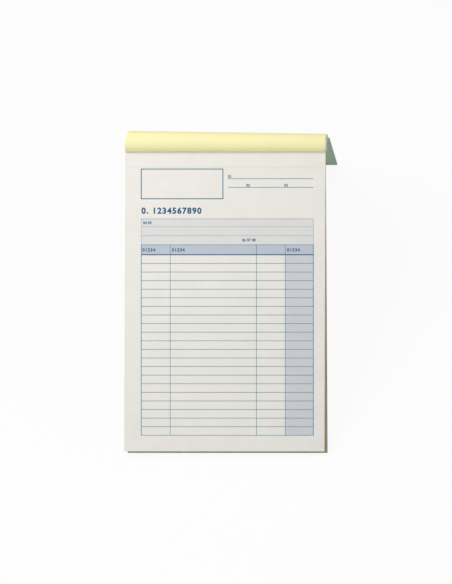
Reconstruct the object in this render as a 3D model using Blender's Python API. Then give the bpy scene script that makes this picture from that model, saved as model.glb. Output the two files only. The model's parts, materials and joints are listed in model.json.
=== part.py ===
"""A duplicate notepad, open for writing and standing on its turned cover like a small easel.

Everything is drawn with the pad lying flat, in pad coordinates: X runs across the page, Y runs up the
page with the head edge at zero, and Z comes out of the page with the back of the board at zero. The
stand empty then tips the pad back, until the foot of the board and the free edge of the turned cover
stand on the ground together. Leaves turned over the head are rolls: arcs that start at a crease near
the head, bulge towards the reader, pass over the head and run on as flat panels behind the board.
"""

import math

import bmesh
import bpy
from mathutils import Matrix, Vector

# Leaves, in metres
LEAF_WIDTH = 0.148
TEAR_OFF_LENGTH = 0.210
STUB_LENGTH = 0.020
SHEET = 0.00015
GAP = 0.0003

# Unused sets, drawn as packs of leaves
PACK_COUNT = 5
PACK_THICKNESS = 0.0010
USED_MARGIN_THICKNESS = 0.0006

# Sideways slip of the page against the board, at the head and at the foot. The block of leaves slips
# almost as far as one piece, and its leaves fan out over the rest of the way.
PAGE_SLIP_HEAD = -0.0009
PAGE_SLIP_FOOT = -0.0026
BLOCK_SLIP_SHARE = 0.80
FOOT_STEP = 0.0002

# Board and cover
BOARD_THICKNESS = 0.0015
BOARD_OVERHANG = 0.0012
CARD = 0.0004
COVER_SLIP = 0.0015

# Perforation between the stub and the tear-off leaf
PERFORATION_PITCH = 0.002
SLIT_LENGTH = 0.0012
SLIT_DEPTH = 0.00035

# Leaves turned over the head
USED_COPIES = 3
ROLL_FROM_HEAD = 0.0085
ROLL_RADIUS_LEFT = 0.00775
ROLL_RADIUS_RIGHT = 0.00665
ROLL_STEPS = 22
PANEL_STEPS = 12
COPY_SLIPS = (0.0001, -0.0006, -0.0013)

# Turned cover, which is the back leg of the easel
LEG_ANGLE = math.radians(85.1)
FOLD_STEPS = 18

# Binding
STAPLE_CROWN = 0.0125
STAPLE_SPACING = 0.074
STAPLE_FROM_HEAD = 0.0030
STAPLE_WIRE = 0.0005
STAPLE_CLINCH = 0.0045
STAPLE_BEND = 0.0006
HOLE_SIDES = 12
TAPE = 0.0002
TAPE_ON_BACK = 0.012
PRESS_DEPTH = 0.0002

# Levels, worked out from the thicknesses above
BLOCK_BASE = BOARD_THICKNESS + GAP
BLOCK_TOP = BLOCK_BASE + PACK_COUNT * PACK_THICKNESS + (PACK_COUNT - 1) * GAP
BOTTOM_COPY_LEVEL = BLOCK_TOP + GAP + SHEET / 2
TOP_COPY_LEVEL = BOTTOM_COPY_LEVEL + SHEET + GAP
PAGE_FACE = TOP_COPY_LEVEL + SHEET / 2
USED_MARGIN_BASE = PAGE_FACE + GAP
USED_MARGIN_TOP = USED_MARGIN_BASE + USED_MARGIN_THICKNESS
COVER_MARGIN_BASE = USED_MARGIN_TOP + GAP
COVER_MARGIN_TOP = COVER_MARGIN_BASE + CARD
CROWN_LEVEL = COVER_MARGIN_TOP + GAP + STAPLE_WIRE / 2
CLINCH_LEVEL = PRESS_DEPTH - GAP - STAPLE_WIRE / 2
TAPE_FRONT_BASE = CROWN_LEVEL + STAPLE_WIRE / 2 + GAP
TAPE_BACK_BASE = CLINCH_LEVEL - STAPLE_WIRE / 2 - GAP - TAPE

# Rolls, worked out from the crease and the radii above
LAYER = SHEET + GAP
ROLL_CREASE = -ROLL_FROM_HEAD
ROLL_LEVEL = (USED_MARGIN_BASE + USED_MARGIN_TOP) / 2
USED_MARGIN_END = ROLL_CREASE + 2 * USED_COPIES * LAYER
FOLD_OUTER = ROLL_RADIUS_RIGHT - 2 * USED_COPIES * LAYER
FOLD_CENTRE_Y = ROLL_CREASE + ROLL_RADIUS_RIGHT
FOLD_MIDDLE = FOLD_OUTER - CARD / 2
FOLD_INNER = FOLD_OUTER - CARD
LEG_SLOPE = math.pi / 2 - LEG_ANGLE
COVER_LENGTH = STUB_LENGTH + TEAR_OFF_LENGTH + BOARD_OVERHANG
LEAF_LENGTH = STUB_LENGTH + TEAR_OFF_LENGTH
HINGE_LEVEL = TAPE_BACK_BASE - GAP - CARD / 2
SET_CREASE = ROLL_CREASE - GAP


def clear_scene():
    """Removes whatever the scene holds."""
    for item in list(bpy.data.objects):
        bpy.data.objects.remove(item, do_unlink=True)


def material(name, colour, roughness, metallic=0.0):
    """Returns a Principled material."""
    made = bpy.data.materials.new(name)
    made.use_nodes = True
    shader = made.node_tree.nodes["Principled BSDF"]
    shader.inputs["Base Color"].default_value = (*colour, 1.0)
    shader.inputs["Roughness"].default_value = roughness
    shader.inputs["Metallic"].default_value = metallic
    made.diffuse_color = (*colour, 1.0)
    return made


def empty(name, parent, y, z):
    """Returns an empty at a place in pad coordinates, carried by its parent."""
    made = bpy.data.objects.new(name, None)
    bpy.context.collection.objects.link(made)
    made.parent = parent
    made.location = Vector((0.0, y, z)) - pad_place(parent)
    made.empty_display_size = 0.01
    return made


def pad_place(holder):
    """Returns where a holder stands in pad coordinates, before the stand is tipped."""
    place = Vector((0.0, 0.0, 0.0))
    while holder is not None and holder.parent is not None:
        place += holder.location
        holder = holder.parent
    return place


def mesh_object(name, mesh_data, holder, finish):
    """Turns a bmesh in pad coordinates into an object whose origin is its holder's."""
    bmesh.ops.recalc_face_normals(mesh_data, faces=mesh_data.faces)
    bmesh.ops.transform(
        mesh_data, matrix=Matrix.Translation(-pad_place(holder)), verts=mesh_data.verts
    )
    mesh = bpy.data.meshes.new(name)
    mesh_data.to_mesh(mesh)
    mesh_data.free()
    made = bpy.data.objects.new(name, mesh)
    bpy.context.collection.objects.link(made)
    made.parent = holder
    made.data.materials.append(finish)
    return made


def slit_places():
    """Returns the middle of each slit of a perforation, from the middle of the leaf."""
    count = int((LEAF_WIDTH - SLIT_LENGTH) / PERFORATION_PITCH)
    return [(index - (count - 1) / 2) * PERFORATION_PITCH for index in range(count)]


def leaf_outline(head, foot, slip_head=0.0, slip_foot=0.0, slits_at_head=False, slits_at_foot=False):
    """Returns the outline of a leaf, anticlockwise, with half slits along a perforated edge."""
    half = LEAF_WIDTH / 2

    def edge(y, slip, slits, inward):
        """Returns the points of one cross edge, from left to right."""
        points = [(slip - half, y)]
        if slits:
            depth = y + inward * SLIT_DEPTH
            for place in slit_places():
                left = slip + place - SLIT_LENGTH / 2
                right = slip + place + SLIT_LENGTH / 2
                points += [(left, y), (left, depth), (right, depth), (right, y)]
        points.append((slip + half, y))
        return points

    foot_edge = edge(foot, slip_foot, slits_at_foot, 1)
    head_edge = edge(head, slip_head, slits_at_head, -1)
    return foot_edge + head_edge[::-1]


def plate(name, outline, low, high, holder, finish):
    """Returns a flat piece: an outline raised from one level to another."""
    mesh_data = bmesh.new()
    corners = [mesh_data.verts.new((x, y, low)) for x, y in outline]
    base = mesh_data.faces.new(corners)
    raised = bmesh.ops.extrude_face_region(mesh_data, geom=[base])
    top = [item for item in raised["geom"] if isinstance(item, bmesh.types.BMVert)]
    bmesh.ops.translate(mesh_data, verts=top, vec=(0.0, 0.0, high - low))
    return mesh_object(name, mesh_data, holder, finish)


def crosswise(name, profile, holder, finish):
    """Returns a piece with one side profile, in Y and Z, all the way across the pad."""
    mesh_data = bmesh.new()
    corners = [mesh_data.verts.new((-LEAF_WIDTH / 2, y, z)) for y, z in profile]
    end = mesh_data.faces.new(corners)
    raised = bmesh.ops.extrude_face_region(mesh_data, geom=[end])
    far = [item for item in raised["geom"] if isinstance(item, bmesh.types.BMVert)]
    bmesh.ops.translate(mesh_data, verts=far, vec=(LEAF_WIDTH, 0.0, 0.0))
    return mesh_object(name, mesh_data, holder, finish)


def arc(centre, radius, start, end, steps):
    """Returns points of an arc in the YZ plane. Angles turn from the reader's side over the head."""
    points = []
    for index in range(steps + 1):
        angle = start + (end - start) * index / steps
        points.append(
            (centre[0] + radius * math.sin(angle), centre[1] + radius * math.cos(angle))
        )
    return points


def ribbon(name, left_path, right_path, thickness, left, right, holder, finish):
    """Returns a sheet lofted from the path of its left edge to the path of its right edge."""
    mesh_data = bmesh.new()
    rings = []
    for path, x in ((left_path, left), (right_path, right)):
        outer = []
        inner = []
        for index, (y, z) in enumerate(path):
            before = path[max(index - 1, 0)]
            after = path[min(index + 1, len(path) - 1)]
            along = Vector((after[0] - before[0], after[1] - before[1])).normalized()
            side = Vector((-along.y, along.x)) * thickness / 2
            outer.append(mesh_data.verts.new((x, y + side.x, z + side.y)))
            inner.append(mesh_data.verts.new((x, y - side.x, z - side.y)))
        rings.append(outer + inner[::-1])
        for index in range(len(path) - 1):
            mesh_data.faces.new(
                (outer[index], outer[index + 1], inner[index + 1], inner[index])
            )
    count = len(rings[0])
    for index in range(count):
        follow = (index + 1) % count
        mesh_data.faces.new(
            (rings[0][index], rings[0][follow], rings[1][follow], rings[1][index])
        )
    made = mesh_object(name, mesh_data, holder, finish)
    made.data.shade_smooth()
    made.data.set_sharp_from_angle(angle=math.radians(40))
    return made


def staple(name, x, holder, finish):
    """Returns one wire staple, with its crown on the front and its legs clinched on the board."""
    half = STAPLE_CROWN / 2
    points = [(half - STAPLE_CLINCH, CLINCH_LEVEL)]
    corners = ((half, CLINCH_LEVEL, -1, 1), (half, CROWN_LEVEL, -1, -1))
    for corner_x, corner_z, inward, upward in corners:
        centre = (corner_x + inward * STAPLE_BEND, corner_z + upward * STAPLE_BEND)
        bend = []
        for index in range(5):
            angle = math.pi / 2 * index / 4
            bend.append(
                (
                    centre[0] + STAPLE_BEND * math.sin(angle),
                    centre[1] - upward * STAPLE_BEND * math.cos(angle),
                )
            )
        points += bend if upward > 0 else bend[::-1]
    points += [(-px, pz) for px, pz in points[::-1]]

    curve = bpy.data.curves.new(name, "CURVE")
    curve.dimensions = "3D"
    curve.bevel_depth = STAPLE_WIRE / 2
    curve.bevel_resolution = 2
    curve.use_fill_caps = True
    spline = curve.splines.new("POLY")
    spline.points.add(len(points) - 1)
    for target, (px, pz) in zip(spline.points, points):
        target.co = (x + px, -STAPLE_FROM_HEAD, pz, 1.0)
    made = bpy.data.objects.new(name, curve)
    bpy.context.collection.objects.link(made)
    made.parent = holder
    curve.materials.append(finish)
    return made


def staple_places():
    """Returns the middle of each staple, across the page."""
    return (-STAPLE_SPACING / 2, STAPLE_SPACING / 2)


def leg_hole_cutter(holder, finish):
    """Returns the hidden cutter for the holes that the four staple legs pass through."""
    mesh_data = bmesh.new()
    reach = CROWN_LEVEL - CLINCH_LEVEL
    for middle in staple_places():
        for side in (-1, 1):
            place = (
                middle + side * STAPLE_CROWN / 2,
                -STAPLE_FROM_HEAD,
                (CROWN_LEVEL + CLINCH_LEVEL) / 2,
            )
            bmesh.ops.create_cone(
                mesh_data,
                cap_ends=True,
                segments=HOLE_SIDES,
                radius1=STAPLE_WIRE / 2 + GAP,
                radius2=STAPLE_WIRE / 2 + GAP,
                depth=reach + 4 * STAPLE_WIRE,
                matrix=Matrix.Translation(place),
            )
    made = mesh_object("leg_hole_cutter", mesh_data, holder, finish)
    made.hide_render = True
    made.display_type = "WIRE"
    return made


def pierce(pieces, cutter):
    """Cuts the staple holes through each piece."""
    for piece in pieces:
        cut = piece.modifiers.new("staple_holes", "BOOLEAN")
        cut.operation = "DIFFERENCE"
        cut.solver = "EXACT"
        cut.object = cutter


def build_block(stand, grey, paper):
    """Builds the board and the packs of unused sets, which slip a little more towards the top.

    The binding press leaves the board thinner under the tape, where the clinched legs sink in.
    """
    foot = -LEAF_LENGTH - BOARD_OVERHANG
    press_end = -TAPE_ON_BACK - GAP
    profile = [
        (foot, 0.0),
        (press_end, 0.0),
        (press_end, PRESS_DEPTH),
        (0.0, PRESS_DEPTH),
        (0.0, BOARD_THICKNESS),
        (foot, BOARD_THICKNESS),
    ]
    pieces = [crosswise("backing_board", profile, stand, grey)]
    for index in range(PACK_COUNT):
        share = slip_share(index)
        low = BLOCK_BASE + index * (PACK_THICKNESS + GAP)
        outline = leaf_outline(
            0.0,
            -LEAF_LENGTH - FOOT_STEP * (1 - share),
            PAGE_SLIP_HEAD * share,
            PAGE_SLIP_FOOT * share,
        )
        name = f"unused_sets_{PACK_COUNT - index}"
        pieces.append(plate(name, outline, low, low + PACK_THICKNESS, stand, paper))
    return pieces


def slip_share(layer):
    """Returns a layer's share of the page's slip. Layers count up from the board: packs, copy, page."""
    return BLOCK_SLIP_SHARE + (1 - BLOCK_SLIP_SHARE) * (layer + 1) / (PACK_COUNT + 2)


def slip_at(y, share):
    """Returns how far a leaf has slipped sideways at a height on the page."""
    return share * (PAGE_SLIP_HEAD + (PAGE_SLIP_FOOT - PAGE_SLIP_HEAD) * -y / LEAF_LENGTH)


def build_current_set(set_axis, tear_axis, yellow, paper):
    """Builds the set being written: the yellow copy, and the white leaf with its perforated stub."""
    share = slip_share(PACK_COUNT)
    head = SET_CREASE - GAP
    outline = leaf_outline(
        head, -LEAF_LENGTH, slip_at(head, share), slip_at(-LEAF_LENGTH, share)
    )
    level = BOTTOM_COPY_LEVEL
    plate("bottom_copy", outline, level - SHEET / 2, level + SHEET / 2, set_axis, yellow)

    level = TOP_COPY_LEVEL
    tear = -STUB_LENGTH
    stub_foot = tear + GAP / 2
    outline = leaf_outline(
        head, stub_foot, slip_at(head, 1), slip_at(stub_foot, 1), slits_at_foot=True
    )
    plate("top_copy_stub", outline, level - SHEET / 2, level + SHEET / 2, set_axis, paper)

    leaf_head = tear - GAP / 2
    outline = leaf_outline(
        leaf_head, -LEAF_LENGTH, slip_at(leaf_head, 1), slip_at(-LEAF_LENGTH, 1), slits_at_head=True
    )
    plate("top_copy", outline, level - SHEET / 2, level + SHEET / 2, tear_axis, paper)


def fold_reach(radius, level):
    """Returns how far in front of the fold's centre a circle stands at a level."""
    return math.sqrt(radius**2 - (level - ROLL_LEVEL) ** 2)


def build_margins(stand, paper, green):
    """Builds the bound margins: current set, used sets and cover, glued up at the head."""
    margin = leaf_outline(0.0, SET_CREASE, PAGE_SLIP_HEAD, PAGE_SLIP_HEAD)
    current = plate(
        "current_set_margin", margin, BLOCK_TOP + GAP, PAGE_FACE, stand, paper
    )
    margin = leaf_outline(0.0, USED_MARGIN_END)
    used = plate(
        "used_sets_margin", margin, USED_MARGIN_BASE, USED_MARGIN_TOP, stand, paper
    )
    cover_end = FOLD_CENTRE_Y - fold_reach(FOLD_INNER, COVER_MARGIN_TOP) + GAP
    margin = leaf_outline(0.0, cover_end, COVER_SLIP, COVER_SLIP)
    cover = plate(
        "cover_margin", margin, COVER_MARGIN_BASE, COVER_MARGIN_TOP, stand, green
    )
    return [current, used, cover]


def build_tape(stand, linen):
    """Builds the binding tape, wrapped round the head over the crowns and the clinched legs."""
    front_low = TAPE_FRONT_BASE
    front_high = front_low + TAPE
    front_end = FOLD_CENTRE_Y - fold_reach(FOLD_INNER - GAP, front_high)
    back_low = TAPE_BACK_BASE
    back_high = back_low + TAPE
    profile = [
        (front_end, front_low),
        (GAP, front_low),
        (GAP, back_high),
        (-TAPE_ON_BACK, back_high),
        (-TAPE_ON_BACK, back_low),
        (GAP + TAPE, back_low),
        (GAP + TAPE, front_high),
        (front_end, front_high),
    ]
    return crosswise("spine_tape", profile, stand, linen)


def cover_line():
    """Returns the cover's hinge point, its direction down the leg, and its outward side."""
    end = arc((FOLD_CENTRE_Y, ROLL_LEVEL), FOLD_MIDDLE, 0.0, math.pi / 2 + LEG_SLOPE, 1)[-1]
    down = Vector((-math.sin(LEG_SLOPE), -math.cos(LEG_SLOPE)))
    run = (end[1] - HINGE_LEVEL) / math.cos(LEG_SLOPE)
    hinge = Vector(end) + down * run
    outward = Vector((math.cos(LEG_SLOPE), -math.sin(LEG_SLOPE)))
    return hinge, down, outward, run


def cover_panel_length():
    """Returns how much of the cover is left for the leg, below its hinge."""
    start = math.pi / 2 - math.asin((COVER_MARGIN_BASE + CARD / 2 - ROLL_LEVEL) / FOLD_MIDDLE)
    roll = FOLD_MIDDLE * (start + math.pi / 2 + LEG_SLOPE)
    run = cover_line()[3]
    return COVER_LENGTH + USED_MARGIN_END - roll - run


def build_cover(copies_axis, cover_axis, green):
    """Builds the cover's fold round the head and the panel that stands on the ground."""
    rise = COVER_MARGIN_BASE + CARD / 2 - ROLL_LEVEL
    start = math.asin(rise / FOLD_MIDDLE) - math.pi / 2
    hinge, down, _, _ = cover_line()
    centre = (FOLD_CENTRE_Y, ROLL_LEVEL)
    path = arc(centre, FOLD_MIDDLE, start, math.pi / 2 + LEG_SLOPE, FOLD_STEPS)
    path.append(tuple(hinge - down * GAP / 2))
    left = COVER_SLIP - LEAF_WIDTH / 2
    right = COVER_SLIP + LEAF_WIDTH / 2
    ribbon("cover_fold", path, path, CARD, left, right, copies_axis, green)
    path = [tuple(hinge + down * GAP / 2), tuple(hinge + down * cover_panel_length())]
    ribbon("cover", path, path, CARD, left, right, cover_axis, green)


def copy_route(number, radius_outer):
    """Returns the roll and the panel of one used copy along one of its edges.

    The roll is an arc from the crease. The panel runs straight on from it, and comes down on the
    cover, or on the copy before it, at its free end.
    """
    radius = radius_outer - 2 * (USED_COPIES - number) * LAYER - SHEET / 2
    centre = Vector((ROLL_CREASE + radius_outer, ROLL_LEVEL))
    _, down, outward, _ = cover_line()
    fold_centre = Vector((FOLD_CENTRE_Y, ROLL_LEVEL))
    near = (centre - fold_centre).dot(outward) + radius - FOLD_MIDDLE
    far = CARD / 2 + GAP + (number - 1) * LAYER + SHEET / 2
    length = LEAF_LENGTH + USED_MARGIN_END - radius * (math.pi + LEG_SLOPE)
    slope = LEG_SLOPE + math.asin((near - far) / length)
    end_angle = math.pi / 2 + slope
    roll = arc(centre, radius, -math.pi / 2, end_angle, ROLL_STEPS)
    run = Vector((-math.sin(slope), -math.cos(slope)))
    start = Vector(roll[-1])
    stations = [GAP + (length - GAP) * step / PANEL_STEPS for step in range(PANEL_STEPS + 1)]
    panel = [tuple(start + run * station) for station in stations]
    return roll, panel


def stub_route(number, radius_outer):
    """Returns the arc of the torn stub inside one used copy, along one of its edges, and its end angle."""
    radius = radius_outer - (2 * (USED_COPIES - number) + 1) * LAYER - SHEET / 2
    centre = (ROLL_CREASE + radius_outer, ROLL_LEVEL)
    end_angle = (STUB_LENGTH - ROLL_FROM_HEAD) / radius - math.pi / 2
    return arc(centre, radius, -math.pi / 2, end_angle, ROLL_STEPS), end_angle


def tear(stub, left_route, right_route, slip, holder, finish):
    """Cuts the half slits that the perforation leaves along a stub's torn edge."""
    mesh_data = bmesh.new()
    for place in slit_places():
        share = place / LEAF_WIDTH + 0.5
        (left_y, left_z), left_angle = left_route[0][-1], left_route[1]
        (right_y, right_z), right_angle = right_route[0][-1], right_route[1]
        middle = Vector(
            (
                slip + place,
                left_y + (right_y - left_y) * share,
                left_z + (right_z - left_z) * share,
            )
        )
        angle = left_angle + (right_angle - left_angle) * share
        place_and_turn = Matrix.Translation(middle) @ Matrix.Rotation(-angle, 4, "X")
        size = Matrix.Diagonal((SLIT_LENGTH, 2 * SLIT_DEPTH, 4 * SHEET, 1.0))
        bmesh.ops.create_cube(mesh_data, size=1.0, matrix=place_and_turn @ size)
    cutter = mesh_object(f"{stub.name}_comb", mesh_data, holder, finish)
    cutter.hide_render = True
    cutter.display_type = "WIRE"
    cut = stub.modifiers.new("torn_edge", "BOOLEAN")
    cut.operation = "DIFFERENCE"
    cut.solver = "EXACT"
    cut.object = cutter


def build_used_copies(copies_axis, yellow, paper):
    """Builds the used yellow copies, turned over the head one by one, with the stubs between them."""
    for number in range(1, USED_COPIES + 1):
        slip = COPY_SLIPS[(number - 1) % len(COPY_SLIPS)]
        left = slip - LEAF_WIDTH / 2
        right = slip + LEAF_WIDTH / 2
        left_roll, left_panel = copy_route(number, ROLL_RADIUS_LEFT)
        right_roll, right_panel = copy_route(number, ROLL_RADIUS_RIGHT)
        ribbon(
            f"used_copy_roll_{number}", left_roll, right_roll, SHEET, left, right, copies_axis, yellow
        )
        ribbon(
            f"used_copy_{number}", left_panel, right_panel, SHEET, left, right, copies_axis, yellow
        )
        left_stub = stub_route(number, ROLL_RADIUS_LEFT)
        right_stub = stub_route(number, ROLL_RADIUS_RIGHT)
        stub = ribbon(
            f"torn_stub_{number}", left_stub[0], right_stub[0], SHEET, left, right, copies_axis, paper
        )
        tear(stub, left_stub, right_stub, slip, copies_axis, paper)


def stance_angle():
    """Returns how far the pad is tipped up, so that the board's foot and the leg's end are level."""
    hinge, down, outward, _ = cover_line()
    end = hinge + down * cover_panel_length() - outward * CARD / 2
    board_foot = -LEAF_LENGTH - BOARD_OVERHANG
    return math.atan2(-end.y, end.x - board_foot)


def settle(stand):
    """Moves the stand so that the ground is at zero and the object is centred over the origin."""
    bpy.context.view_layer.update()
    graph = bpy.context.evaluated_depsgraph_get()
    points = []
    for item in bpy.data.objects:
        if item.type in {"MESH", "CURVE"} and not item.hide_render:
            shaped = item.evaluated_get(graph)
            mesh = shaped.to_mesh()
            points += [shaped.matrix_world @ corner.co for corner in mesh.vertices]
            shaped.to_mesh_clear()
    for axis in (0, 1):
        values = [point[axis] for point in points]
        stand.location[axis] -= (min(values) + max(values)) / 2
    stand.location.z -= min(point.z for point in points)
    bpy.context.view_layer.update()


def main():
    """Builds the notepad."""
    clear_scene()
    paper = material("white_paper", (0.84, 0.82, 0.78), 0.75)
    yellow = material("yellow_paper", (0.93, 0.84, 0.42), 0.75)
    green = material("green_card", (0.21, 0.30, 0.22), 0.70)
    grey = material("grey_board", (0.33, 0.31, 0.26), 0.85)
    linen = material("binding_tape", (0.52, 0.50, 0.43), 0.80)
    steel = material("staple_wire", (0.62, 0.62, 0.64), 0.30, 1.0)

    stand = empty("stand", None, 0.0, 0.0)
    stand.rotation_euler.x = stance_angle()
    roll_middle = (ROLL_RADIUS_LEFT + ROLL_RADIUS_RIGHT) / 2
    copies_axis = empty("copies_axis", stand, ROLL_CREASE + roll_middle, ROLL_LEVEL)
    hinge = cover_line()[0]
    cover_axis = empty("cover_axis", copies_axis, hinge.x, hinge.y)
    set_axis = empty("set_axis", stand, SET_CREASE - GAP / 2, TOP_COPY_LEVEL)
    tear_axis = empty("tear_axis", set_axis, -STUB_LENGTH, TOP_COPY_LEVEL)

    pierced = build_block(stand, grey, paper)
    pierced += build_margins(stand, paper, green)
    build_current_set(set_axis, tear_axis, yellow, paper)
    build_tape(stand, linen)
    build_used_copies(copies_axis, yellow, paper)
    build_cover(copies_axis, cover_axis, green)
    for name, x in zip(("staple_left", "staple_right"), staple_places()):
        staple(name, x, stand, steel)
    pierce(pierced, leg_hole_cutter(stand, steel))
    settle(stand)


main()
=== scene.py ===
"""Looks of the duplicate notepad, standing open like a small easel.

Every piece is drawn in pad coordinates: X runs across the page, Y runs up it with the head edge at
zero, and Z comes out of it with the back of the board at zero. A place on a sheet is given by x,
across it from its middle, and by s, along it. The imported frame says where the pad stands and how
far it is tipped back. Sizes are in metres.
"""

import json
import logging
import math
import random
from dataclasses import dataclass
from enum import Enum, IntEnum
from functools import cache
from typing import Callable, Optional, Sequence, Union

import bpy
import numpy as np
from mathutils import Matrix, Vector

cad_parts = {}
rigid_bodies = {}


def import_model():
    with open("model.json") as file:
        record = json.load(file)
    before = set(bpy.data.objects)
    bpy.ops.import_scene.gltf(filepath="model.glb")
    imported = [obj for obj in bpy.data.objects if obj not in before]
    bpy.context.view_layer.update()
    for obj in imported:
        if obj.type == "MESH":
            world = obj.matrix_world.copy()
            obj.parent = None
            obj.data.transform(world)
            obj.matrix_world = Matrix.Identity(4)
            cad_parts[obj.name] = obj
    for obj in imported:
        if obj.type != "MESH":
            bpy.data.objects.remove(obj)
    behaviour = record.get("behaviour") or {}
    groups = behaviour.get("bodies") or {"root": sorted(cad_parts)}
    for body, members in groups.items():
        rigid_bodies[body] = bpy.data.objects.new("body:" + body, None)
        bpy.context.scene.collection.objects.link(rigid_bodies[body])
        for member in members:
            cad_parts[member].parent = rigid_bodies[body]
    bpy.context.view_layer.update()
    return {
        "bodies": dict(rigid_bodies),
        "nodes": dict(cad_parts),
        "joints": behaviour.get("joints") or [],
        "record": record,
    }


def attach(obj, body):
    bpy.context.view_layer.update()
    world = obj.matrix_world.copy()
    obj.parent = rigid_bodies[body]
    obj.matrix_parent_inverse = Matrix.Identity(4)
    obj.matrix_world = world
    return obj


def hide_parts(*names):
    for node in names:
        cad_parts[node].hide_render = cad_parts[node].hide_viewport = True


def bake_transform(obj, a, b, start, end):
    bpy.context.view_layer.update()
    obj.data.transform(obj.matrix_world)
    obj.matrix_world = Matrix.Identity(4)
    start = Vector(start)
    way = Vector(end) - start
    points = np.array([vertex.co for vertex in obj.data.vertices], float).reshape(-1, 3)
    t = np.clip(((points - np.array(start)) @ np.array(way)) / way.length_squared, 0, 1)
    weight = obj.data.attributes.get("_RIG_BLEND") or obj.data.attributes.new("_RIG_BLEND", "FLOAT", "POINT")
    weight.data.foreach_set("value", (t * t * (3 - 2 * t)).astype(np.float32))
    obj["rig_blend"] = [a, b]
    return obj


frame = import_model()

LOG = logging.getLogger("notepad")
MM = 0.001
QUARTER = math.pi / 2
SHARP = math.radians(40.0)
PLACE = "flat_place"
WHITE = (1.0, 1.0, 1.0, 1.0)
Colour = tuple[float, float, float]
Point = tuple[float, float, float]
Pair = tuple[float, float]
Face = tuple[int, ...]
Socket = bpy.types.NodeSocket
Piece = bpy.types.Object
Surface = Callable[[float, float], Point]


class Slot(Enum):
    """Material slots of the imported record."""

    WHITE = "white_paper"
    YELLOW = "yellow_paper"
    GREEN = "green_card"
    GREY = "grey_board"
    TAPE = "binding_tape"
    WIRE = "staple_wire"


class Body(Enum):
    """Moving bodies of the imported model."""

    PAD = "pad"
    COPIES = "used_copies"
    COVER = "cover"
    SET = "bottom_copy"
    LEAF = "top_copy"


class Half(Enum):
    """The two halves of a turned sheet, on the reader's side and behind the head."""

    FRONT = 1
    BACK = -1


class Ink(IntEnum):
    """What is printed at a place on the form, as the number of its finish."""

    BARE = 0
    RULE = 1
    FRAME = 2
    HEAVY = 3
    BLOCK = 4
    BLOCK_RULE = 5
    BAND = 6
    COLUMN = 7


# Finishes


class Nodes:
    """A node tree, and what is often added to one."""

    def __init__(self, tree: bpy.types.NodeTree) -> None:
        """Keeps the tree."""
        self.tree = tree

    def add(self, kind: str, inputs: Optional[dict] = None, **settings: object) -> bpy.types.Node:
        """Adds one node.

        Args:
            kind: The node's type, without the word that they all start with.
            inputs: Values or sockets, by input name or number.
            **settings: The node's own settings.

        Returns:
            The new node.
        """
        node = self.tree.nodes.new("ShaderNode" + kind)
        for name, value in settings.items():
            setattr(node, name, value)
        for key, value in (inputs or {}).items():
            if isinstance(value, Socket):
                self.tree.links.new(value, node.inputs[key])
            else:
                node.inputs[key].default_value = value
        return node

    def ray(self, *kinds: str) -> Socket:
        """Returns 1 for a ray of any of some kinds, and 0 for every other ray.

        Args:
            *kinds: The kinds, as the Light Path node names them.

        Returns:
            A value socket.
        """
        rays = self.add("LightPath").outputs
        found = rays[kinds[0]]
        for kind in kinds[1:]:
            found = self.add("Math", {0: found, 1: rays[kind]}, operation="MAXIMUM").outputs[0]
        return found

    def show(self, share: Socket, first: Socket, second: Socket, output: str) -> None:
        """Shows one shader, and a second one by its share, at the output node of a name."""
        both = self.add("MixShader", {0: share, 1: first, 2: second})
        self.tree.links.new(both.outputs[0], self.tree.nodes[output].inputs["Surface"])


class Shader(Nodes):
    """One node material, built round its Principled shader."""

    def __init__(self, name: str, roughness: float, gloss: float) -> None:
        """Starts a material.

        Args:
            name: The material's name.
            roughness: The roughness of the whole surface.
            gloss: The specular level of the whole surface.
        """
        self.material = bpy.data.materials.new(name)
        self.material.use_nodes = True
        super().__init__(self.material.node_tree)
        self.surface = self.tree.nodes["Principled BSDF"]
        self.surface.inputs["Roughness"].default_value = roughness
        self.surface.inputs["Specular IOR Level"].default_value = gloss

    def place(self, *stretch: float) -> Socket:
        """Returns each point's place on the flat sheet, stretched along its axes."""
        flat = self.add("Attribute", attribute_name=PLACE).outputs["Vector"]
        return self.add("Mapping", {"Vector": flat, "Scale": stretch or (1, 1, 1)}).outputs[0]

    def noise(self, where: Socket, size: float, detail: float) -> Socket:
        """Returns soft noise between 0 and 1, with blotches of one size and finer layers."""
        made = {"Vector": where, "Scale": 1.0 / size, "Detail": detail}
        return self.add("TexNoise", made).outputs[0]

    def spread(self, value: Socket, low: float, high: float, end: float = 1.0) -> Socket:
        """Returns 0 where a value is low and end where it is high, and between them between."""
        return self.add("MapRange", {0: value, 1: low, 2: high, 4: end}).outputs[0]

    def mix(self, share: Socket, *ends: object) -> Socket:
        """Returns a colour between two colours or sockets, by the share of the second."""
        low, high = [(*end, 1.0) if isinstance(end, tuple) else end for end in ends]
        return self.add("Mix", {0: share, 6: low, 7: high}, data_type="RGBA").outputs[2]

    def vary(self, share: Socket, colour: Colour, dark: float, light: float) -> Socket:
        """Returns a colour that runs from a darker to a lighter one, given as factors."""
        return self.mix(share, shade(colour, dark), shade(colour, light))

    def sum(self, first: Socket, second: Socket, weight: float) -> Socket:
        """Returns first plus weight times second."""
        made = {0: second, 1: weight, 2: first}
        return self.add("Math", made, operation="MULTIPLY_ADD").outputs[0]

    def finish(self, colour: Socket, height: Socket, depth: float) -> None:
        """Joins the colour and the relief to the surface.

        Args:
            colour: The base colour.
            height: The relief, between 0 and 1.
            depth: The relief's depth.
        """
        bump = self.add("Bump", {"Height": height, "Distance": depth, "Strength": 1.0})
        self.tree.links.new(colour, self.surface.inputs["Base Color"])
        self.tree.links.new(bump.outputs[0], self.surface.inputs["Normal"])


def shade(colour: Colour, factor: float) -> Colour:
    """Returns a colour made lighter or darker, at most white."""
    return tuple(min(1.0, part * factor) for part in colour)


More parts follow.
